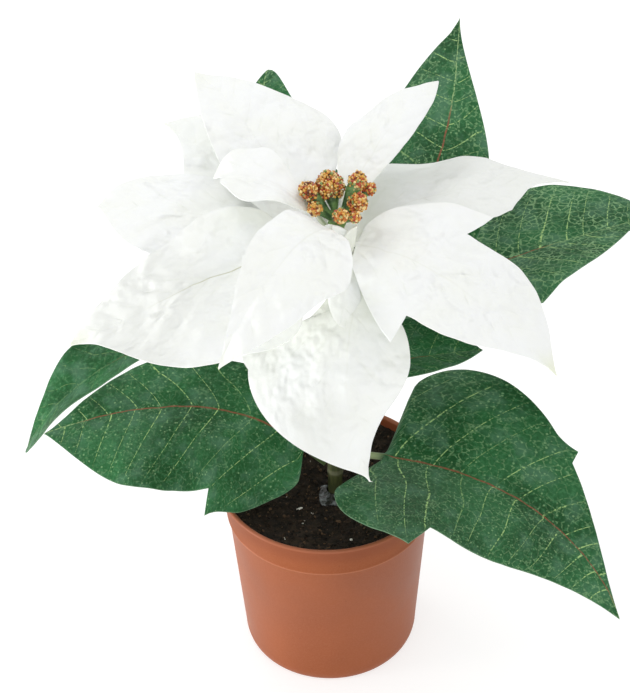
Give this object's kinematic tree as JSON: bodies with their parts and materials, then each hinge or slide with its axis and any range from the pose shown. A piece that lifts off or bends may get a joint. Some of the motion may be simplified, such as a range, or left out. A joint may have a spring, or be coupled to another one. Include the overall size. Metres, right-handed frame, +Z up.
{
  "type": "potted poinsettia",
  "caption": "Potted poinsettia with white bracts round beaded florets, dark green leaves, a woody stem, soil and a tapered terracotta-coloured nursery pot.",
  "frame": {"origin": "centre of the pot's flat underside, on the surface it stands on", "axes": "+Z up along the pot's axis, -Y towards the viewer of the pictured front, +X to that viewer's right"},
  "size_m": [0.3292, 0.254, 0.2982],
  "materials": {
    "terracotta": "satin, terracotta coloured",
    "soil": "rough, dark brown",
    "stem": "matt, olive green",
    "glue": "glossy, cloudy",
    "leaf": "matt, dark green",
    "bract": "matt, white",
    "floret_green": "matt, green",
    "floret_beads": "satin, orange"
  },
  "bodies": {
    "root": {"pot": "terracotta", "soil": "soil", "stem": "stem", "glue_collar": "glue", "bract_front": "bract", "bract_front_left": "bract", "bract_front_right": "bract", "bract_right": "bract", "bract_back_right": "bract", "bract_back_left": "bract", "bract_upper_left": "bract", "bract_left_back": "bract", "bract_left": "bract", "bract_lower_left": "bract", "leaf_back_right": "leaf", "leaf_right": "leaf", "leaf_front_right": "leaf", "leaf_front_left": "leaf", "leaf_left": "leaf", "leaf_under_right": "leaf", "leaf_back": "leaf", "floret_stalks": "floret_green", "floret_back_left": "floret_beads", "floret_back": "floret_beads", "floret_back_right": "floret_beads", "floret_right": "floret_beads", "floret_middle_right": "floret_beads", "floret_left": "floret_beads", "floret_front": "floret_beads", "floret_front_right": "floret_beads"}
  },
  "joints": []
}
